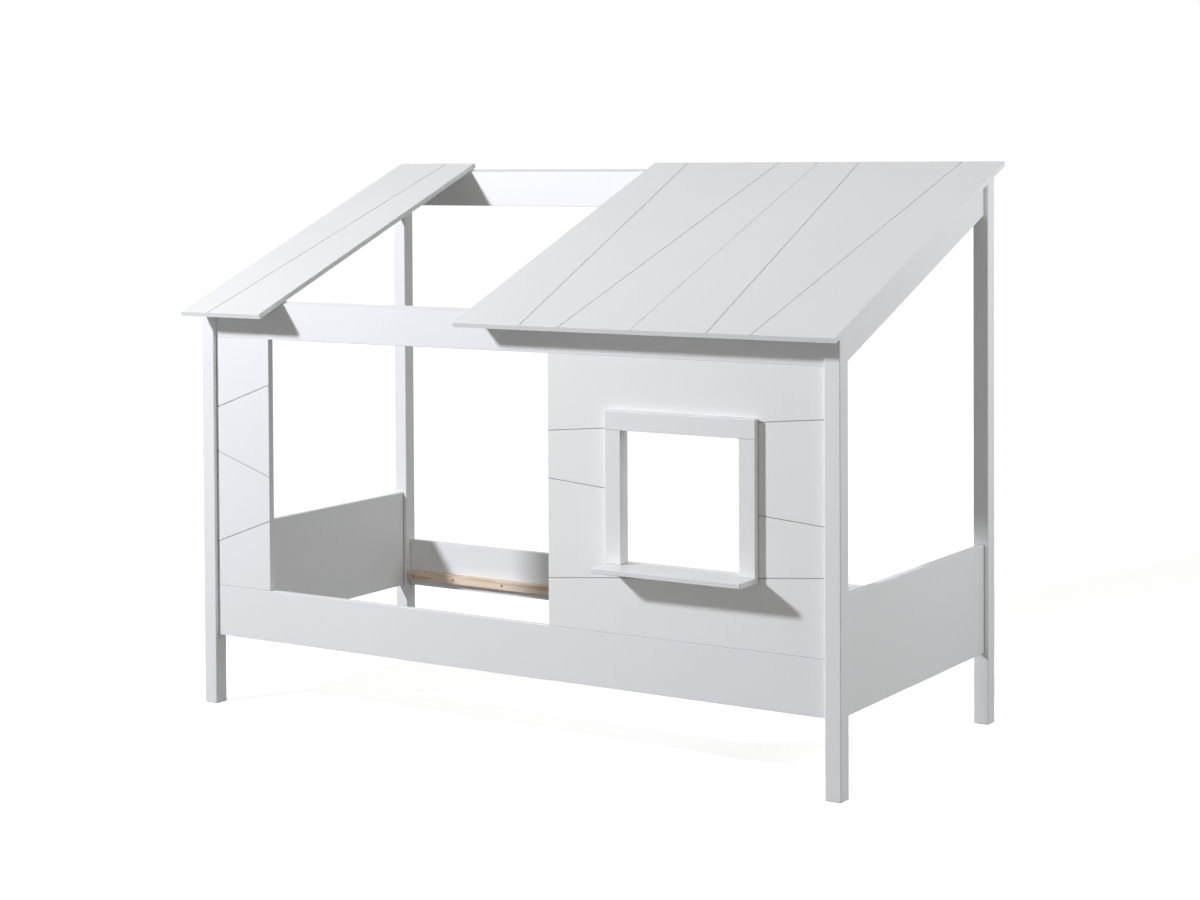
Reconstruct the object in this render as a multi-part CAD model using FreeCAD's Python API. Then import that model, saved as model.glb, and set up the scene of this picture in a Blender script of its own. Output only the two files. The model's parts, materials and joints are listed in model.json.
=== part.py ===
import FreeCAD, Part
import math
import os
from collections import defaultdict

# House frame bed: four posts, a mattress frame, a lean-to roof in two parts and a front
# wall with a doorway and a window. Millimetres and degrees. While a piece is made, x runs
# along the bed from the left posts' outer faces, y from the front posts' front faces to
# the back, and z up from the floor. The finished pieces are moved together so that the
# origin lies on the floor under the middle of the whole bed.

# ---------------------------------------------------------------- driving dimensions

# Frame, over the outside of the posts
frame_length = 2080.0
frame_width = 970.0

# Posts
post_side = 45.0
post_edge_radius = 3.0
post_foot_chamfer = 2.0

# Boards: rails, beams, rafters, end boards and wall panels are cut from one thickness
board_thickness = 20.0
board_edge_radius = 1.5
front_setback = 12.5       # from a front post's front face back to the rail, wall and eave beam
rear_setback = 20.0        # from a rear post's front face back to the rail and ridge beam
end_setback = 12.5         # from a post's outer face in to an end board or rafter

# Heights of the mattress frame and of the front wall
rail_floor_clearance = 202.0
rail_height = 147.0
end_board_height = 304.0
end_board_edge_radius = 2.5
wall_height = 728.0
eave_beam_height = 111.0   # at its back face, where its bevelled top is highest
ridge_beam_height = 116.0  # also at its back face
rafter_depth = 107.0       # square to the slope

# Battens for a slatted base
batten_thickness = 20.0
batten_height = 28.0
batten_rise = 19.0         # from the rail's lower edge
batten_end_gap = 5.0
batten_screw_end_margin = 20.0
batten_screw_first_gap = 160.0
batten_screw_pitch = 192.0
batten_screw_steps = 3     # at that pitch from each end, before the one in the middle

# Front wall: a narrow panel, a doorway, and a wide panel with a window
narrow_wall_width = 198.0
window_wall_width = 826.0
window_side = 351.0        # the clear opening is square
window_sill_rise = 186.0   # from the front rail's top to the top of the sill
window_edge_radius = 1.0
casing_thickness = 18.0
jamb_casing_width = 47.0
head_casing_height = 50.0
casing_edge_radius = 1.5
sill_thickness = 14.0
sill_projection = 95.0     # from the wall's front face
sill_corner_radius = 5.0
sill_edge_radius = 2.0
sill_clearance = 0.3       # beside the part of the sill that fills the window opening

# Roof
roof_pitch = 21.8
roof_thickness = 14.0
roof_edge_radius = 1.0
eave_overhang = 79.0       # of the roof's underside, in front of the posts
ridge_overhang = 11.0      # of the roof's underside, behind the posts
roof_left_overhang = 4.0
roof_right_overhang = 28.0
narrow_roof_width = 295.0
wide_roof_left_width = 560.0
wide_roof_right_width = 580.0
roof_joint_gap = 0.5       # between the two boards of the wide roof

# V-grooves that draw slanting boards on the wall panels and the roof
groove_width = 3.0
groove_depth = 2.4
wall_groove_heights = [(128.0, 202.0), (395.0, 329.0), (522.0, 596.0)]
narrow_roof_grooves = [(105.0, 185.0)]
wide_roof_left_grooves = [(217.0, 119.0), (340.0, 432.0)]
wide_roof_right_grooves = [(223.0, 133.0), (349.0, 454.0)]

# Dowels
dowel_diameter = 8.0
dowel_in_frame = 15.0      # in the post, rail or beam that a board is pegged to
dowel_in_board = 20.0
roof_dowel_diameter = 6.0
roof_dowel_half_length = 15.0
roof_dowel_count = 5
bore_clearance = 0.1       # around every dowel, bolt, cam and screw
bore_end_gap = 1.0         # beyond the end of every dowel, bolt and screw

# Cam fittings: a bolt screwed into the post, drawn up by a cam in the board's hidden face
cam_diameter = 15.0
cam_depth = 13.5
cam_distance = 34.0        # from the board's end to the middle of the cam
cam_slot_width = 2.0
cam_slot_length = 9.0
cam_slot_depth = 2.0
cam_bolt_diameter = 6.0
cam_bolt_in_post = 12.0
cam_bolt_head_diameter = 7.5
cam_bolt_head_length = 5.0

# Screws and roof brackets
screw_diameter = 4.0
screw_head_diameter = 7.5
batten_screw_length = 33.0
batten_screw_sink = 2.5
casing_screw_length = 30.0
sill_screw_length = 40.0
bracket_leg = 26.0
bracket_width = 20.0
bracket_thickness = 2.0
bracket_screw_diameter = 3.5
bracket_screw_head_diameter = 6.5
bracket_screw_length = 10.0

# Where fixings go, as shares of the height or length of the board that they hold
board_dowel_shares = (0.2, 0.8)
rail_cam_shares = (0.5,)
end_board_cam_shares = (0.3, 0.7)
rafter_dowel_shares = (0.25,)
rafter_cam_shares = (0.6,)
wall_cam_shares = (0.2, 0.8)
narrow_wall_dowel_shares = (0.3, 0.7)
window_wall_dowel_shares = (0.1, 0.5, 0.9)
jamb_screw_shares = (0.2, 0.8)
head_casing_screw_shares = (0.1, 0.5, 0.9)
beam_bracket_shares = (0.3, 0.75)
rafter_bracket_shares = (0.3, 0.7)
bracket_screw_share = 0.65  # of a bracket's leg, from its bend

# ---------------------------------------------------------------- places worked out

X = FreeCAD.Vector(1, 0, 0)
Y = FreeCAD.Vector(0, 1, 0)
Z = FreeCAD.Vector(0, 0, 1)

slope = math.tan(math.radians(roof_pitch))
cosine = math.cos(math.radians(roof_pitch))
sine = math.sin(math.radians(roof_pitch))

# Between the posts
inner_left = post_side
inner_right = frame_length - post_side
inner_front = post_side
inner_back = frame_width - post_side

# Layers of boards, from face to face
front_boards = (front_setback, front_setback + board_thickness)
back_boards = (inner_back + rear_setback, inner_back + rear_setback + board_thickness)
left_boards = (end_setback, end_setback + board_thickness)
right_boards = (frame_length - end_setback - board_thickness, frame_length - end_setback)

rail_levels = (rail_floor_clearance, rail_floor_clearance + rail_height)
end_board_levels = (rail_floor_clearance, rail_floor_clearance + end_board_height)
wall_levels = (rail_levels[1], rail_levels[1] + wall_height)
eave_beam_levels = (wall_levels[1], wall_levels[1] + eave_beam_height)


def roof_underside(y):
    """Height of the roof's underside: it lies on the bevelled top of the eave beam."""
    return eave_beam_levels[1] + (y - front_boards[1]) * slope


ridge_beam_top = roof_underside(back_boards[1])
ridge_beam_levels = (ridge_beam_top - ridge_beam_height, ridge_beam_top)

narrow_wall = (inner_left, inner_left + narrow_wall_width)
window_wall = (inner_right - window_wall_width, inner_right)
window_middle = (window_wall[0] + window_wall[1]) / 2
window = (window_middle - window_side / 2, window_middle + window_side / 2)
casing = (window[0] - jamb_casing_width, window[1] + jamb_casing_width)
casing_layer = (front_boards[0] - casing_thickness, front_boards[0])
sill_top = wall_levels[0] + window_sill_rise
window_head = sill_top + window_side

roof_front = -eave_overhang
roof_back = frame_width + ridge_overhang
roof_slope_length = (roof_back - roof_front) / cosine
narrow_roof = (-roof_left_overhang, narrow_roof_width - roof_left_overhang)
wide_roof_end = frame_length + roof_right_overhang
wide_roof_right = (wide_roof_end - wide_roof_right_width, wide_roof_end)
wide_roof_joint = wide_roof_right[0] - roof_joint_gap
wide_roof_left = (wide_roof_joint - wide_roof_left_width, wide_roof_joint)
roof_up = FreeCAD.Vector(0, -sine, cosine)
roof_along = FreeCAD.Vector(0, cosine, sine)

# Extents of the whole bed, for the origin under its middle
front_extent = min(roof_front - roof_thickness * sine, front_boards[0] - sill_projection)
to_origin = FreeCAD.Vector(-(narrow_roof[0] + wide_roof_end) / 2, -(front_extent + roof_back) / 2, 0)

# Filled while the pieces are made: solids by node, and the bores that fixings need
pieces = {}
fixings = defaultdict(list)
bores = defaultdict(list)


# ---------------------------------------------------------------- shapes

def middle(span):
    return (span[0] + span[1]) / 2


def share(span, fraction):
    """The place at a fraction of the way along a span."""
    return span[0] + (span[1] - span[0]) * fraction


def within(place, span):
    return span[0] - 0.01 < place < span[1] + 0.01


def block(x, y, z):
    """A box from its spans, each a low and a high value."""
    corner = FreeCAD.Vector(x[0], y[0], z[0])
    return Part.makeBox(x[1] - x[0], y[1] - y[0], z[1] - z[0], corner)


def peg(diameter, start, direction, length):
    return Part.makeCylinder(diameter / 2, length, start, direction)


def prism(points, sweep):
    """A solid swept from a flat outline."""
    return Part.Face(Part.makePolygon(points + [points[0]])).extrude(sweep)


def edges_along(shape, axis):
    return [edge for edge in shape.Edges if abs(edge.tangentAt(edge.FirstParameter).dot(axis)) > 0.999]


def rounded(shape, radius, *axes):
    """The shape with its straight edges along each axis rounded."""
    edges = [edge for axis in axes for edge in edges_along(shape, axis)]
    return shape.makeFillet(radius, edges)


def above_roof():
    """Everything over the roof's underside, to bevel what the roof lies on."""
    low, high = roof_front, roof_back
    top = roof_underside(high) + ridge_beam_height
    outline = [
        FreeCAD.Vector(0, low, roof_underside(low)),
        FreeCAD.Vector(0, high, roof_underside(high)),
        FreeCAD.Vector(0, high, top),
        FreeCAD.Vector(0, low, top),
    ]
    return prism(outline, X * frame_length)


def on_roof(shape):
    """Tilt a shape that was made flat, with y up the slope from the eave, and lay it on the frame."""
    tilted = shape.rotated(FreeCAD.Vector(0, 0, 0), X, roof_pitch)
    return tilted.translated(FreeCAD.Vector(0, roof_front, roof_underside(roof_front)))


def v_groove(start, end, outward):
    """A cutter for a V-groove between two points of a face, run out past both."""
    along = (end - start).normalize()
    side = along.cross(outward)
    begin = start - along * groove_width
    outline = [
        begin - outward * groove_depth,
        begin + outward * groove_depth + side * groove_width,
        begin + outward * groove_depth - side * groove_width,
    ]
    return prism(outline, along * ((end - start).Length + 2 * groove_width))


# ---------------------------------------------------------------- fixings

def dowel(group, frame_piece, board, point, inward):
    """One dowel from a frame piece into a board; inward points into the board."""
    start = point - inward * dowel_in_frame
    length = dowel_in_frame + dowel_in_board
    fixings[group].append(peg(dowel_diameter, start, inward, length))
    bore_start = start - inward * bore_end_gap
    bore = peg(dowel_diameter + 2 * bore_clearance, bore_start, inward, length + 2 * bore_end_gap)
    bores[frame_piece].append(bore)
    bores[board].append(bore)


def cam_bolt(point, inward, extra_radius, extra_length):
    """A bolt that stands out of the post at a point, with its head in the cam."""
    start = point - inward * (cam_bolt_in_post + extra_length)
    head_end = cam_distance + cam_bolt_head_length / 2
    shank_length = cam_bolt_in_post + extra_length + cam_distance
    shank = peg(cam_bolt_diameter + 2 * extra_radius, start, inward, shank_length)
    head_start = point + inward * (head_end - cam_bolt_head_length)
    head_diameter = cam_bolt_head_diameter + 2 * extra_radius
    head = peg(head_diameter, head_start, inward, cam_bolt_head_length + extra_length)
    return shank.fuse(head)


def cam_fitting(group, post, board, point, inward, hidden):
    """A cam fitting at a board's end; hidden points out of the board's face that holds the cam."""
    fixings[group + "_cam_bolts"].append(cam_bolt(point, inward, 0, 0))
    bores[post].append(cam_bolt(point, inward, bore_clearance, bore_end_gap))

    # A passage for the bolt's head runs in from the board's end to the cam
    passage_diameter = cam_bolt_head_diameter + 2 * bore_clearance
    passage_length = cam_distance + cam_bolt_head_length / 2 + bore_end_gap
    passage = peg(passage_diameter, point - inward * bore_end_gap, inward, passage_length + bore_end_gap)

    mouth = point + inward * cam_distance + hidden * board_thickness / 2
    pocket = peg(cam_diameter + 2 * bore_clearance, mouth, -hidden, cam_depth + bore_clearance)
    bores[board] += [passage, pocket]

    cam = peg(cam_diameter, mouth, -hidden, cam_depth).cut(passage)
    across = inward.cross(hidden)
    slot_corner = mouth - across * cam_slot_width / 2 - inward * cam_slot_length / 2
    outline = [
        slot_corner,
        slot_corner + across * cam_slot_width,
        slot_corner + across * cam_slot_width + inward * cam_slot_length,
        slot_corner + inward * cam_slot_length,
    ]
    fixings[group + "_cams"].append(cam.cut(prism(outline, -hidden * cam_slot_depth)))


def countersunk(point, direction, length, diameter, head_diameter):
    """A countersunk screw whose flat head lies at a point."""
    head_length = (head_diameter - diameter) / 2
    head = Part.makeCone(head_diameter / 2, diameter / 2, head_length, point, direction)
    return head.fuse(peg(diameter, point, direction, length))


def screw(group, through, point, direction, length, diameter, head_diameter, sink=0.0):
    """A screw through the named pieces, its head sunk under the face it is driven from."""
    seat = point + direction * sink
    fixings[group].append(countersunk(seat, direction, length, diameter, head_diameter))
    wider = 2 * bore_clearance
    bore = countersunk(seat, direction, length + bore_end_gap, diameter + wider, head_diameter + wider)
    if sink > 0:
        bore = bore.fuse(peg(head_diameter + wider, point, direction, sink))
    for name in through:
        bores[name].append(bore)


# ---------------------------------------------------------------- posts

def make_post(x, y):
    """A square post with rounded edges and a chamfered foot, cut off under the roof."""
    back = y + post_side
    blank = block((x, x + post_side), (y, back), (0, roof_underside(back)))
    blank = rounded(blank, post_edge_radius, Z)
    foot_edges = [edge for edge in blank.Edges if edge.BoundBox.ZMax < post_foot_chamfer / 2]
    return blank.makeChamfer(post_foot_chamfer, foot_edges).cut(above_roof())


def make_posts():
    for depth, y in (("front", 0), ("rear", inner_back)):
        for side, x in (("left", 0), ("right", inner_right)):
            pieces["post_" + depth + "_" + side] = make_post(x, y)


# ---------------------------------------------------------------- boards between the posts

def side_joints(group, board, depth, layer, levels, dowel_shares, cam_shares):
    """Peg and bolt both ends of a board that runs along the bed to its two posts."""
    y = middle(layer)
    for side, x, inward in (("left", inner_left, X), ("right", inner_right, -X)):
        post = "post_" + depth + "_" + side
        for fraction in dowel_shares:
            point = FreeCAD.Vector(x, y, share(levels, fraction))
            dowel(group + "_dowels", post, board, point, inward)
        for fraction in cam_shares:
            point = FreeCAD.Vector(x, y, share(levels, fraction))
            cam_fitting(group, post, board, point, inward, Y)


def end_joints(group, board, side, layer, levels_at, dowel_shares, cam_shares):
    """Peg and bolt both ends of a board that runs across the bed to its two posts."""
    x = middle(layer)
    for depth, y, inward in (("front", inner_front, Y), ("rear", inner_back, -Y)):
        post = "post_" + depth + "_" + side
        for fraction in dowel_shares:
            point = FreeCAD.Vector(x, y, share(levels_at(y), fraction))
            dowel(group + "_dowels", post, board, point, inward)
        for fraction in cam_shares:
            point = FreeCAD.Vector(x, y, share(levels_at(y), fraction))
            cam_fitting(group, post, board, point, inward, -X)


def make_rails():
    for depth, layer in (("front", front_boards), ("rear", back_boards)):
        name = "side_rail_" + depth
        pieces[name] = rounded(block((inner_left, inner_right), layer, rail_levels), board_edge_radius, X)
        side_joints("rail", name, depth, layer, rail_levels, board_dowel_shares, rail_cam_shares)


def make_end_boards():
    for name, side, layer in (("headboard", "left", left_boards), ("footboard", "right", right_boards)):
        board = block(layer, (inner_front, inner_back), end_board_levels)
        pieces[name] = rounded(board, end_board_edge_radius, Y, Z)
        end_joints("end_board", name, side, layer, lambda y: end_board_levels,
                   board_dowel_shares, end_board_cam_shares)


def make_beams():
    """The eave and ridge beams, their tops bevelled so that the roof lies flat on them."""
    for name, depth, layer, levels in (
        ("eave_beam", "front", front_boards, eave_beam_levels),
        ("ridge_beam", "rear", back_boards, ridge_beam_levels),
    ):
        blank = block((inner_left, inner_right), layer, (levels[0], levels[1] + board_thickness))
        blank = rounded(blank, board_edge_radius, X)
        pieces[name] = blank.cut(above_roof())
        side_joints("beam", name, depth, layer, levels, board_dowel_shares, rail_cam_shares)


def rafter_levels(y):
    return (roof_underside(y) - rafter_depth / cosine, roof_underside(y))


def make_rafters():
    for side, layer in (("left", left_boards), ("right", right_boards)):
        name = "rafter_" + side
        front, back = rafter_levels(inner_front), rafter_levels(inner_back)
        outline = [
            FreeCAD.Vector(layer[0], inner_front, front[0]),
            FreeCAD.Vector(layer[0], inner_back, back[0]),
            FreeCAD.Vector(layer[0], inner_back, back[1]),
            FreeCAD.Vector(layer[0], inner_front, front[1]),
        ]
        rafter = prism(outline, X * board_thickness)
        lower_edges = [edge for edge in edges_along(rafter, roof_along)
                       if edge.CenterOfMass.z < share((front[0], back[1]), 0.5)]
        pieces[name] = rafter.makeFillet(board_edge_radius, lower_edges)
        end_joints("rafter", name, side, layer, rafter_levels, rafter_dowel_shares, rafter_cam_shares)


# ---------------------------------------------------------------- battens for the slatted base

def batten_screw_places(span):
    """The same places from both ends, one of them in the middle."""
    second = batten_screw_end_margin + batten_screw_first_gap
    from_end = [batten_screw_end_margin]
    from_end += [second + step * batten_screw_pitch for step in range(batten_screw_steps + 1)]
    left = [span[0] + distance for distance in from_end]
    right = [span[1] - distance for distance in reversed(from_end)]
    return left + [middle(span)] + right


def make_battens():
    span = (inner_left + batten_end_gap, inner_right - batten_end_gap)
    bottom = rail_levels[0] + batten_rise
    levels = (bottom, bottom + batten_height)
    front = (front_boards[1], front_boards[1] + batten_thickness)
    rear = (back_boards[0] - batten_thickness, back_boards[0])
    for depth, layer, face, into_rail in (("front", front, front[1], -Y), ("rear", rear, rear[0], Y)):
        name = "slat_batten_" + depth
        pieces[name] = rounded(block(span, layer, levels), board_edge_radius, X)
        for x in batten_screw_places(span):
            point = FreeCAD.Vector(x, face, middle(levels))
            screw("batten_screws_" + depth, (name, "side_rail_" + depth), point, into_rail,
                  batten_screw_length, screw_diameter, screw_head_diameter, batten_screw_sink)


# ---------------------------------------------------------------- front wall

def wall_grooves(span):
    """Cutters for the slanting grooves across a wall panel's front face."""
    cutters = []
    for left_height, right_height in wall_groove_heights:
        start = FreeCAD.Vector(span[0], front_boards[0], wall_levels[0] + left_height)
        end = FreeCAD.Vector(span[1], front_boards[0], wall_levels[0] + right_height)
        cutters.append(v_groove(start, end, -Y))
    return cutters


def wall_joints(board, span, post, post_x, inward, dowel_shares):
    """Peg a wall panel between the rail and the beam, and bolt its side to the post."""
    y = middle(front_boards)
    for fraction in dowel_shares:
        x = share(span, fraction)
        dowel("wall_dowels", "side_rail_front", board, FreeCAD.Vector(x, y, wall_levels[0]), Z)
        dowel("wall_dowels", "eave_beam", board, FreeCAD.Vector(x, y, wall_levels[1]), -Z)
    for fraction in wall_cam_shares:
        point = FreeCAD.Vector(post_x, y, share(wall_levels, fraction))
        cam_fitting("wall", post, board, point, inward, Y)


def make_narrow_wall():
    name = "wall_panel_narrow"
    panel = rounded(block(narrow_wall, front_boards, wall_levels), board_edge_radius, X, Z)
    pieces[name] = panel.cut(wall_grooves(narrow_wall))
    wall_joints(name, narrow_wall, "post_front_left", inner_left, X, narrow_wall_dowel_shares)


def make_window_wall():
    """The wide panel, with a hole for the window and for the back of the sill."""
    name = "wall_panel_window"
    panel = rounded(block(window_wall, front_boards, wall_levels), board_edge_radius, X, Z)
    hole_levels = (sill_top - sill_thickness, window_head)
    panel = panel.cut(block(window, front_boards, hole_levels))
    rim = [edge for edge in edges_along(panel, X) + edges_along(panel, Z)
           if within(edge.CenterOfMass.x, window) and within(edge.CenterOfMass.z, hole_levels)]
    pieces[name] = panel.makeFillet(window_edge_radius, rim).cut(wall_grooves(window_wall))
    wall_joints(name, window_wall, "post_front_right", inner_right, -X, window_wall_dowel_shares)


def make_casings():
    """Casings round the window: two jambs that stand on the sill, and a head across them."""
    left = (casing[0], window[0])
    right = (window[1], casing[1])
    jamb_levels = (sill_top, window_head)
    head_levels = (window_head, window_head + head_casing_height)
    wall = "wall_panel_window"
    for name, span in (("window_jamb_left", left), ("window_jamb_right", right)):
        jamb = block(span, casing_layer, jamb_levels)
        front_edges = [edge for edge in edges_along(jamb, Z) if edge.CenterOfMass.y < middle(casing_layer)]
        pieces[name] = jamb.makeFillet(casing_edge_radius, front_edges)
        for fraction in jamb_screw_shares:
            point = FreeCAD.Vector(middle(span), front_boards[1], share(jamb_levels, fraction))
            screw("casing_screws", (wall, name), point, -Y, casing_screw_length,
                  screw_diameter, screw_head_diameter)
        sill_point = FreeCAD.Vector(middle(span), middle(casing_layer), sill_top - sill_thickness)
        screw("sill_screws", ("window_sill", name), sill_point, Z, sill_screw_length,
              screw_diameter, screw_head_diameter)

    head = block(casing, casing_layer, head_levels)
    front_edges = [edge for edge in head.Edges if edge.BoundBox.YMax < middle(casing_layer)]
    pieces["window_head_casing"] = head.makeFillet(casing_edge_radius, front_edges)
    for fraction in head_casing_screw_shares:
        point = FreeCAD.Vector(share(casing, fraction), front_boards[1], middle(head_levels))
        screw("casing_screws", (wall, "window_head_casing"), point, -Y, casing_screw_length,
              screw_diameter, screw_head_diameter)


def make_sill():
    """A notched shelf: wide in front of the wall, and as wide as the window inside it."""
    levels = (sill_top - sill_thickness, sill_top)
    nose = front_boards[0] - sill_projection
    shelf = block(casing, (nose, front_boards[0]), levels)
    corner_edges = [edge for edge in edges_along(shelf, Z) if edge.CenterOfMass.y < middle(casing_layer)]
    shelf = shelf.makeFillet(sill_corner_radius, corner_edges)
    rim = [edge for edge in shelf.Edges
           if edge.BoundBox.ZLength < sill_thickness / 2 and edge.BoundBox.YMin < middle(casing_layer)]
    shelf = shelf.makeFillet(sill_edge_radius, rim)
    tongue = (window[0] + sill_clearance, window[1] - sill_clearance)
    pieces["window_sill"] = shelf.fuse(block(tongue, front_boards, levels)).removeSplitter()


# ---------------------------------------------------------------- roof

def make_roof_board(name, span, grooves):
    """A roof board; each groove runs from a place on the eave to a place on the ridge."""
    slab = block(span, (0, roof_slope_length), (0, roof_thickness))
    top_edges = [edge for edge in slab.Edges if edge.BoundBox.ZMin > roof_thickness / 2]
    slab = slab.makeFillet(roof_edge_radius, top_edges)
    cutters = []
    for eave_place, ridge_place in grooves:
        start = FreeCAD.Vector(span[0] + eave_place, 0, roof_thickness)
        end = FreeCAD.Vector(span[0] + ridge_place, roof_slope_length, roof_thickness)
        cutters.append(v_groove(start, end, Z))
    pieces[name] = on_roof(slab.cut(cutters))


def roof_joint_dowels():
    """Dowels in the edges where the two boards of the wide roof meet."""
    seam = wide_roof_joint + roof_joint_gap / 2
    for number in range(roof_dowel_count):
        up_slope = roof_slope_length * (number + 0.5) / roof_dowel_count
        start = FreeCAD.Vector(seam - roof_dowel_half_length, up_slope, roof_thickness / 2)
        length = 2 * roof_dowel_half_length
        fixings["roof_joint_dowels"].append(on_roof(peg(roof_dowel_diameter, start, X, length)))
        bore_diameter = roof_dowel_diameter + 2 * bore_clearance
        bore = on_roof(peg(bore_diameter, start - X * bore_end_gap, X, length + 2 * bore_end_gap))
        bores["roof_panel_wide_left"].append(bore)
        bores["roof_panel_wide_right"].append(bore)


def roof_bracket(outline, sweep, fixed_to, roof_board, frame_point, into_frame, roof_point):
    """A bent steel bracket with one screw into the frame and one up into the roof."""
    bracket = prism(outline, sweep)
    number = str(len(fixings["roof_brackets"]))
    screws = ((frame_point, into_frame, fixed_to), (roof_point, roof_up, roof_board))
    for point, direction, piece in screws:
        screw("bracket_screws", ("bracket " + number, piece), point, direction,
              bracket_screw_length, bracket_screw_diameter, bracket_screw_head_diameter)
    fixings["roof_brackets"].append(bracket.cut(bores.pop("bracket " + number)))


def beam_bracket(beam, face_y, away, x, roof_board):
    """A bracket bent to the pitch, in the corner between a beam's inner face and the roof."""
    left = x - bracket_width / 2
    along = roof_along * away
    corner = FreeCAD.Vector(left, face_y, roof_underside(face_y))
    inner_y = face_y + away * bracket_thickness
    inner_corner = FreeCAD.Vector(left, inner_y, roof_underside(inner_y) - bracket_thickness / cosine)
    outline = [
        corner,
        corner + along * bracket_leg,
        corner + along * bracket_leg - roof_up * bracket_thickness,
        inner_corner,
        corner - Z * bracket_leg + Y * away * bracket_thickness,
        corner - Z * bracket_leg,
    ]
    across = X * (bracket_width / 2)
    reach = bracket_leg * bracket_screw_share
    frame_point = corner + across - Z * reach + Y * away * bracket_thickness
    roof_point = corner + across + along * reach - roof_up * bracket_thickness
    roof_bracket(outline, X * bracket_width, beam, roof_board, frame_point, -Y * away, roof_point)


def rafter_bracket(rafter, face_x, away, up_slope, roof_board):
    """A square bracket between a rafter's inner face and the roof."""
    start_y = inner_front + (inner_back - inner_front) * up_slope
    corner = FreeCAD.Vector(face_x, start_y, roof_underside(start_y))
    down = -roof_up
    outline = [
        corner,
        corner + X * away * bracket_leg,
        corner + X * away * bracket_leg + down * bracket_thickness,
        corner + X * away * bracket_thickness + down * bracket_thickness,
        corner + X * away * bracket_thickness + down * bracket_leg,
        corner + down * bracket_leg,
    ]
    across = roof_along * (bracket_width / 2)
    reach = bracket_leg * bracket_screw_share
    frame_point = corner + across + down * reach + X * away * bracket_thickness
    roof_point = corner + across + X * away * reach + down * bracket_thickness
    roof_bracket(outline, roof_along * bracket_width, rafter, roof_board, frame_point,
                 -X * away, roof_point)


def make_roof():
    boards = (
        ("roof_panel_narrow", narrow_roof, narrow_roof_grooves),
        ("roof_panel_wide_left", wide_roof_left, wide_roof_left_grooves),
        ("roof_panel_wide_right", wide_roof_right, wide_roof_right_grooves),
    )
    for name, span, grooves in boards:
        make_roof_board(name, span, grooves)
        for fraction in beam_bracket_shares:
            beam_bracket("eave_beam", front_boards[1], 1, share(span, fraction), name)
            beam_bracket("ridge_beam", back_boards[0], -1, share(span, fraction), name)
    for up_slope in rafter_bracket_shares:
        rafter_bracket("rafter_left", left_boards[1], 1, up_slope, "roof_panel_narrow")
        rafter_bracket("rafter_right", right_boards[0], -1, up_slope, "roof_panel_wide_right")
    roof_joint_dowels()


# ---------------------------------------------------------------- build

def save(name, shape):
    shape.translated(to_origin).exportStep("parts/" + name + ".step")


def main():
    os.makedirs("parts", exist_ok=True)
    make_posts()
    make_rails()
    make_end_boards()
    make_beams()
    make_rafters()
    make_battens()
    make_narrow_wall()
    make_window_wall()
    make_casings()
    make_sill()
    make_roof()
    for name, solid in pieces.items():
        save(name, solid.cut(bores[name]))
    for name, solids in fixings.items():
        save(name, Part.makeCompound(solids))


main()
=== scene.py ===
import json
import math

import bpy
from mathutils import Matrix, Vector

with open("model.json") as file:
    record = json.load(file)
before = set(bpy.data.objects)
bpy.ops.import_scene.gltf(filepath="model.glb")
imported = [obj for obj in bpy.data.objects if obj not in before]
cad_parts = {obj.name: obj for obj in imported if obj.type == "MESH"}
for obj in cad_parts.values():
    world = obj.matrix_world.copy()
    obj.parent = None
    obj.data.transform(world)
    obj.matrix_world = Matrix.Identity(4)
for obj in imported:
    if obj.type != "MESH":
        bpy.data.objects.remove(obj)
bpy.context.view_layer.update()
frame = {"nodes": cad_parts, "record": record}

nodes = frame["nodes"]


# ---------------------------------------------------------------- materials

# Sockets of a mix node that is set to colour
MIX_FACTOR = 0
MIX_FIRST_COLOUR = 6
MIX_SECOND_COLOUR = 7
MIX_COLOUR = 2


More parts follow.
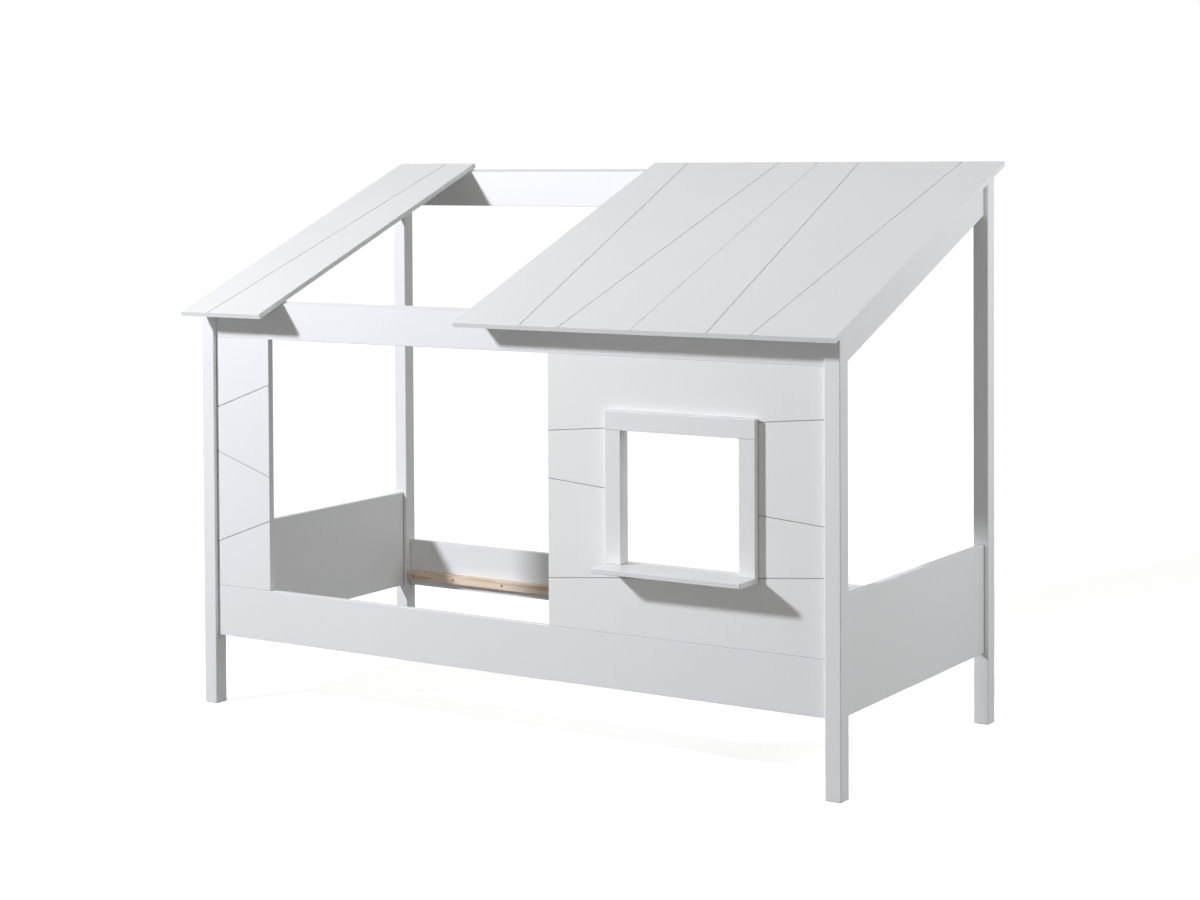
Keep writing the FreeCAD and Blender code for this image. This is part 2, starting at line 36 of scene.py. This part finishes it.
class Shader:
    """A small helper that adds and joins nodes of one material."""

    def __init__(self, name):
        self.material = bpy.data.materials.new(name)
        self.material.use_nodes = True
        self.tree = self.material.node_tree
        self.tree.nodes.clear()
        self.surface = self.add("ShaderNodeBsdfPrincipled")
        output = self.add("ShaderNodeOutputMaterial")
        self.join(self.surface.outputs["BSDF"], output.inputs["Surface"])

    def add(self, kind, **settings):
        node = self.tree.nodes.new(kind)
        for key, value in settings.items():
            setattr(node, key, value)
        return node

    def join(self, source, target):
        self.tree.links.new(source, target)

    def place(self, scale=(1, 1, 1)):
        """Object coordinates, stretched by scale."""
        coordinates = self.add("ShaderNodeTexCoord")
        mapping = self.add("ShaderNodeMapping")
        mapping.inputs["Scale"].default_value = scale
        self.join(coordinates.outputs["Object"], mapping.inputs["Vector"])
        return mapping.outputs["Vector"]

    def noise(self, vector, scale, detail, roughness=0.5, distortion=0.0):
        node = self.add("ShaderNodeTexNoise")
        node.inputs["Scale"].default_value = scale
        node.inputs["Detail"].default_value = detail
        node.inputs["Roughness"].default_value = roughness
        node.inputs["Distortion"].default_value = distortion
        self.join(vector, node.inputs["Vector"])
        return node.outputs["Fac"]

    def ramp(self, factor, *stops):
        """A colour ramp from (position, colour) stops."""
        node = self.add("ShaderNodeValToRGB")
        elements = node.color_ramp.elements
        while len(elements) < len(stops):
            elements.new(0.5)
        for element, (position, colour) in zip(elements, stops):
            element.position = position
            element.color = (*colour, 1.0)
        self.join(factor, node.inputs["Fac"])
        return node.outputs["Color"]

    def spread(self, factor, low, high):
        """Stretch a factor of 0 to 1 to a range."""
        node = self.add("ShaderNodeMapRange")
        node.inputs["To Min"].default_value = low
        node.inputs["To Max"].default_value = high
        self.join(factor, node.inputs["Value"])
        return node.outputs["Result"]

    def mix(self, factor, first, second, blend="MIX"):
        """Two colour sockets, blended by a fixed factor."""
        node = self.add("ShaderNodeMix", data_type="RGBA", blend_type=blend)
        node.inputs[MIX_FACTOR].default_value = factor
        self.join(first, node.inputs[MIX_FIRST_COLOUR])
        self.join(second, node.inputs[MIX_SECOND_COLOUR])
        return node.outputs[MIX_COLOUR]

    def bump(self, height, strength, distance, under=None):
        """A bumped normal, laid over another one if there is one."""
        node = self.add("ShaderNodeBump")
        node.inputs["Strength"].default_value = strength
        node.inputs["Distance"].default_value = distance
        self.join(height, node.inputs["Height"])
        if under is not None:
            self.join(under, node.inputs["Normal"])
        return node.outputs["Normal"]

    def painted_crevice_shade(self, reach):
        """A mask for painted shade: 0 in grooves and close corners, 1 in the open."""
        node = self.add("ShaderNodeAmbientOcclusion", samples=8)
        node.inputs["Distance"].default_value = reach
        return node.outputs["AO"]

    def finish(self, colour, roughness, normal, **constants):
        """Join the sockets, set the constants and give the material."""
        for name, socket in (("Base Color", colour), ("Roughness", roughness), ("Normal", normal)):
            self.join(socket, self.surface.inputs[name])
        for name, value in constants.items():
            self.surface.inputs[name.replace("_", " ")].default_value = value
        return self.material


# The lacquer's darker and lighter tones, which differ a little from board to board. The window wall
# panel's lighter tones are painted light, and the sill's darker tones are painted shade.
PLAIN_TONES = ((0.885, 0.884, 0.876), (0.912, 0.912, 0.908))
# Painted light: the window wall panel's lacquer is lighter than the rest.
WALL_PAINTED_LIGHT_TONES = ((0.925, 0.918, 0.893), (0.945, 0.938, 0.915))
# Painted shade: the sill's lacquer is darker than the rest, so that its top is dimmer.
SILL_PAINTED_SHADE_TONES = ((0.845, 0.845, 0.838), (0.870, 0.870, 0.866))

# Noise is stretched along the board, by these scales across it and along it
ACROSS_GRAIN = 90.0
ALONG_GRAIN = 3.0
LENGTHWISE = (ALONG_GRAIN, ACROSS_GRAIN, ACROSS_GRAIN)
CROSSWISE = (ACROSS_GRAIN, ALONG_GRAIN, ACROSS_GRAIN)
UPRIGHT = (ACROSS_GRAIN, ACROSS_GRAIN, ALONG_GRAIN)

# How near, in metres, another surface must be for the painted shade to darken the lacquer in
# grooves and corners
PAINTED_SHADE_REACH = 0.005


def lacquer(name, grain_scale, tones=PLAIN_TONES):
    """Satin white lacquer: a fine orange peel, the board's grain just showing, and painted shade in
    grooves and close corners.
    """
    shader = Shader(name)
    plain = shader.place()
    patches = shader.noise(plain, 1.7, 3.0)
    darker, lighter = tones
    clean = shader.ramp(patches, (0.3, darker), (0.7, lighter))
    # Painted shade: the colour is darkened where another surface is close, in grooves, corners and
    # joints between parts.
    shade = shader.ramp(shader.painted_crevice_shade(PAINTED_SHADE_REACH),
                        (0.30, (0.34, 0.33, 0.31)), (0.80, (1.0, 1.0, 1.0)))
    colour = shader.mix(1.0, clean, shade, "MULTIPLY")
    along_grain = shader.place(scale=grain_scale)
    grain = shader.noise(along_grain, 1.0, 6.0, 0.6, 0.4)
    sheen = shader.noise(plain, 9.0, 4.0)
    roughness = shader.spread(sheen, 0.36, 0.46)
    peel = shader.noise(plain, 420.0, 2.0)
    grain_bump = shader.bump(grain, 0.10, 0.0006)
    normal = shader.bump(peel, 0.06, 0.0004, grain_bump)
    return shader.finish(colour, roughness, normal, IOR=1.47)


def pine():
    """Planed, unfinished pine, its grain along the batten, with a few small knots."""
    shader = Shader("pine_wood")
    along = shader.place(scale=(2.2, 60.0, 60.0))
    waves = shader.noise(along, 1.4, 5.0, 0.55, 0.6)
    rings = shader.ramp(waves, (0.30, (0.97, 0.84, 0.69)), (0.48, (0.93, 0.77, 0.60)),
                        (0.56, (0.72, 0.46, 0.29)), (0.64, (0.95, 0.81, 0.65)))
    knots = shader.add("ShaderNodeTexVoronoi")
    knots.inputs["Scale"].default_value = 1.0
    shader.join(shader.place(scale=(5.0, 40.0, 40.0)), knots.inputs["Vector"])
    knot_colour = shader.ramp(knots.outputs["Distance"],
                              (0.06, (0.46, 0.27, 0.15)), (0.16, (1.0, 1.0, 1.0)))
    fibres = shader.noise(shader.place(scale=(30.0, 900.0, 900.0)), 1.0, 3.0)
    tone = shader.mix(0.7, rings, knot_colour, "MULTIPLY")
    fibre_colour = shader.ramp(fibres, (0.2, (0.60, 0.43, 0.28)), (0.8, (0.98, 0.90, 0.78)))
    colour = shader.mix(0.10, tone, fibre_colour)
    roughness = shader.spread(fibres, 0.55, 0.78)
    normal = shader.bump(fibres, 0.3, 0.0004, shader.bump(waves, 0.2, 0.0005))
    return shader.finish(colour, roughness, normal, IOR=1.45)


def beech():
    """Fluted beech dowels: pinkish brown with short dark flecks."""
    shader = Shader("beech_wood")
    plain = shader.place()
    flecks = shader.noise(plain, 700.0, 2.0, 0.7)
    tones = shader.noise(plain, 60.0, 3.0)
    base = shader.ramp(tones, (0.3, (0.66, 0.44, 0.27)), (0.7, (0.78, 0.56, 0.37)))
    fleck_colour = shader.ramp(flecks, (0.42, (0.42, 0.25, 0.14)), (0.55, (0.80, 0.60, 0.41)))
    colour = shader.mix(0.35, base, fleck_colour)
    normal = shader.bump(flecks, 0.2, 0.0002)
    return shader.finish(colour, shader.spread(tones, 0.55, 0.7), normal, IOR=1.45)


def metal(name, dark, light, roughness, grain):
    """A plated or cast metal, with a fine uneven surface."""
    shader = Shader(name)
    plain = shader.place()
    clouds = shader.noise(plain, 90.0, 4.0)
    fine = shader.noise(plain, grain, 3.0, 0.6)
    colour = shader.ramp(clouds, (0.3, dark), (0.7, light))
    normal = shader.bump(fine, 0.12, 0.0001)
    smoothest, roughest = roughness
    return shader.finish(colour, shader.spread(fine, smoothest, roughest), normal, Metallic=1.0)


white_along = lacquer("white_lacquer_lengthwise", LENGTHWISE)
white_across = lacquer("white_lacquer_crosswise", CROSSWISE)
white_upright = lacquer("white_lacquer_upright", UPRIGHT)
# The window wall panel's lacquer, lightened: painted light.
white_wall_painted_light = lacquer("white_lacquer_wall_painted_light", UPRIGHT, WALL_PAINTED_LIGHT_TONES)
# The sill's lacquer, darkened: painted shade.
white_sill_painted_shade = lacquer("white_lacquer_sill_painted_shade", LENGTHWISE, SILL_PAINTED_SHADE_TONES)
pine_wood = pine()
beech_wood = beech()
cast_zinc = metal("cast_zinc", (0.42, 0.43, 0.44), (0.55, 0.56, 0.57), (0.38, 0.55), 2600.0)
plated_steel = metal("plated_steel", (0.56, 0.57, 0.60), (0.70, 0.70, 0.71), (0.22, 0.36), 4200.0)
# Plated steel made dark brown: painted shade for the batten screws in their sunk holes.
plated_steel_painted_shade = metal("plated_steel_painted_shade", (0.13, 0.09, 0.07), (0.22, 0.15, 0.11), (0.40, 0.55), 4200.0)

by_slot = {"pine": pine_wood, "beech": beech_wood,
           "zinc_casting": cast_zinc, "plated_steel": plated_steel}
across_nodes = {"headboard", "footboard", "rafter_left", "rafter_right",
                "roof_panel_narrow", "roof_panel_wide_left", "roof_panel_wide_right"}
slots = {part["node"]: part["material_slot"] for part in frame["record"]["subparts"]}


def finish_for(name):
    """The material for a node: by its slot, and for lacquer by the way its grain runs."""
    # The batten screws get the darker copy of plated steel, which is painted shade.
    if name.startswith("batten_screws"):
        return plated_steel_painted_shade
    if slots[name] != "white_lacquer":
        return by_slot[slots[name]]
    # The window wall panel gets the lighter copy of the lacquer, which is painted light.
    if name == "wall_panel_window":
        return white_wall_painted_light
    # The sill gets the darker copy of the lacquer, which is painted shade.
    if name == "window_sill":
        return white_sill_painted_shade
    if name in across_nodes:
        return white_across
    if name.startswith(("post", "window_jamb", "wall_panel")):
        return white_upright
    return white_along


for name, node in nodes.items():
    node.data.materials.clear()
    node.data.materials.append(finish_for(name))


# ---------------------------------------------------------------- camera

# The shared frame's origin, measured from the bed's front left foot corner, in metres
ORIGIN = Vector((1.052, 0.4484, 0.0))

# The photograph's picture, in its own pixels, and the camera worked out from it
PICTURE_WIDTH = 1200
PICTURE_MIDDLE = 450
FOCAL_LENGTH = 2310.46
OPTICAL_CENTRE = 219.695
CAMERA_PLACE = Vector((4.60977, -5.09269, 1.59008)) - ORIGIN
YAW, PITCH, ROLL = (math.radians(angle) for angle in (-32.34, -1.486, -0.298))
SENSOR_WIDTH = 36.0


def set_camera():
    """The photograph's camera: a long lens, almost level, shifted down."""
    forward = Vector((math.sin(YAW) * math.cos(PITCH),
                      math.cos(YAW) * math.cos(PITCH),
                      math.sin(PITCH)))
    level_right = Vector((math.cos(YAW), -math.sin(YAW), 0.0))
    level_up = level_right.cross(forward)
    right = level_right * math.cos(ROLL) + level_up * math.sin(ROLL)
    up = level_up * math.cos(ROLL) - level_right * math.sin(ROLL)
    data = bpy.data.cameras.new("camera")
    data.sensor_fit = "HORIZONTAL"
    data.sensor_width = SENSOR_WIDTH
    data.lens = FOCAL_LENGTH / PICTURE_WIDTH * SENSOR_WIDTH
    data.shift_y = (OPTICAL_CENTRE - PICTURE_MIDDLE) / PICTURE_WIDTH
    data.clip_end = 200.0
    camera = bpy.data.objects.new("camera", data)
    turned = Matrix((right, up, -forward)).transposed().to_4x4()
    camera.matrix_world = Matrix.Translation(CAMERA_PLACE) @ turned
    bpy.context.scene.collection.objects.link(camera)
    bpy.context.scene.camera = camera


set_camera()


# ---------------------------------------------------------------- light

def add_lamp(name, place, target, power, size, colour):
    """A round lamp at a place, facing a target."""
    data = bpy.data.lights.new(name, "AREA")
    data.energy = power
    data.color = colour
    data.shape = "DISK"
    data.size = size
    lamp = bpy.data.objects.new(name, data)
    lamp.location = place
    lamp.rotation_euler = (target - place).to_track_quat("-Z", "Y").to_euler()
    bpy.context.scene.collection.objects.link(lamp)
    return data


def fade_slowly(data):
    """Let a lamp's light fall off with distance, not with its square."""
    data.use_nodes = True
    tree = data.node_tree
    falloff = tree.nodes.new("ShaderNodeLightFalloff")
    falloff.inputs["Strength"].default_value = 1.0
    tree.links.new(falloff.outputs["Linear"], tree.nodes["Emission"].inputs["Strength"])


# The key lamp is placed by the shadows that it throws in the photograph
KEY_PLACE = Vector((-1.58, -2.74, 2.76)) - ORIGIN
KEY_TARGET = Vector((0.2, 0.0, 2.7))

key = add_lamp("key", KEY_PLACE, KEY_TARGET, 45.8, 0.45, (0.892, 0.910, 0.985))
fade_slowly(key)
add_lamp("end_fill", Vector((3.4, -0.2, 1.6)), Vector((1.05, 0.0, 1.2)),
         14.8, 1.0, (0.965, 0.965, 0.985))
add_lamp("high_fill", Vector((2.7, 1.3, 2.1)), Vector((1.0, 0.2, 1.3)),
         17.0, 1.0, (0.865, 0.935, 1.0))
add_lamp("front_fill", Vector((0.5, -5.5, 1.4)), Vector((0.5, 0.0, 0.9)),
         6.0, 2.5, (1.0, 1.0, 1.0))


def looking_rays(tree):
    """1 for rays from the camera, and for those that metal, gloss or glass send on; otherwise 0."""
    path = tree.nodes.new("ShaderNodeLightPath")
    first = tree.nodes.new("ShaderNodeMath")
    second = tree.nodes.new("ShaderNodeMath")
    first.operation = second.operation = "MAXIMUM"
    tree.links.new(path.outputs["Is Camera Ray"], first.inputs[0])
    tree.links.new(path.outputs["Is Glossy Ray"], first.inputs[1])
    tree.links.new(first.outputs["Value"], second.inputs[0])
    tree.links.new(path.outputs["Is Transmission Ray"], second.inputs[1])
    return second.outputs["Value"]


# What the surroundings and the floor give as light, apart from how they look
WORLD_LIGHT = (0.259, 0.257, 0.242, 1)
FLOOR_BOUNCE = (0.25, 0.25, 0.25, 1)
WHITE = (1, 1, 1, 1)


def set_world():
    """White to look at and in reflections, and dimmer as a light."""
    world = bpy.data.worlds.new("studio")
    bpy.context.scene.world = world
    world.use_nodes = True
    tree = world.node_tree
    tree.nodes.clear()
    seen = tree.nodes.new("ShaderNodeBackground")
    seen.inputs["Color"].default_value = WHITE
    seen.inputs["Strength"].default_value = 1.0
    glow = tree.nodes.new("ShaderNodeBackground")
    glow.inputs["Color"].default_value = WORLD_LIGHT
    glow.inputs["Strength"].default_value = 1.0
    mix = tree.nodes.new("ShaderNodeMixShader")
    output = tree.nodes.new("ShaderNodeOutputWorld")
    tree.links.new(looking_rays(tree), mix.inputs["Fac"])
    tree.links.new(glow.outputs["Background"], mix.inputs[1])
    tree.links.new(seen.outputs["Background"], mix.inputs[2])
    tree.links.new(mix.outputs["Shader"], output.inputs["Surface"])


set_world()


# ---------------------------------------------------------------- floor

# The floor as it is seen: a pale paint that shows shadows, and a glow that brings it to white.
# The glow is weaker near the bed, where the lamps are stronger, so that a faint shadow stays.
FLOOR_PAINT = (0.85, 0.85, 0.85, 1)
FLOOR_SIZE = 120.0
NEAR_DISTANCE, NEAR_GLOW = 2.5, 0.70
FAR_DISTANCE, FAR_GLOW = 7.0, 0.84


def set_floor():
    """A pale floor that runs into the white background and keeps a faint shadow of the bed."""
    bpy.ops.object.select_all(action="DESELECT")
    bpy.ops.mesh.primitive_plane_add(size=FLOOR_SIZE, location=(0, 0, 0))
    floor = bpy.context.object
    floor.name = "floor"
    material = bpy.data.materials.new("floor")
    material.use_nodes = True
    tree = material.node_tree
    tree.nodes.clear()
    bounce = tree.nodes.new("ShaderNodeBsdfDiffuse")
    bounce.inputs["Color"].default_value = FLOOR_BOUNCE
    seen = tree.nodes.new("ShaderNodeBsdfDiffuse")
    seen.inputs["Color"].default_value = FLOOR_PAINT
    glow = tree.nodes.new("ShaderNodeEmission")
    glow.inputs["Color"].default_value = WHITE
    coordinates = tree.nodes.new("ShaderNodeTexCoord")
    distance = tree.nodes.new("ShaderNodeVectorMath")
    distance.operation = "LENGTH"
    strength = tree.nodes.new("ShaderNodeMapRange")
    strength.inputs["From Min"].default_value = NEAR_DISTANCE
    strength.inputs["From Max"].default_value = FAR_DISTANCE
    strength.inputs["To Min"].default_value = NEAR_GLOW
    strength.inputs["To Max"].default_value = FAR_GLOW
    tree.links.new(coordinates.outputs["Object"], distance.inputs[0])
    tree.links.new(distance.outputs["Value"], strength.inputs["Value"])
    tree.links.new(strength.outputs["Result"], glow.inputs["Strength"])
    add = tree.nodes.new("ShaderNodeAddShader")
    mix = tree.nodes.new("ShaderNodeMixShader")
    output = tree.nodes.new("ShaderNodeOutputMaterial")
    tree.links.new(seen.outputs["BSDF"], add.inputs[0])
    tree.links.new(glow.outputs["Emission"], add.inputs[1])
    tree.links.new(looking_rays(tree), mix.inputs["Fac"])
    tree.links.new(bounce.outputs["BSDF"], mix.inputs[1])
    tree.links.new(add.outputs["Shader"], mix.inputs[2])
    tree.links.new(mix.outputs["Shader"], output.inputs["Surface"])
    floor.data.materials.append(material)


set_floor()

bpy.context.scene.view_settings.view_transform = "Standard"
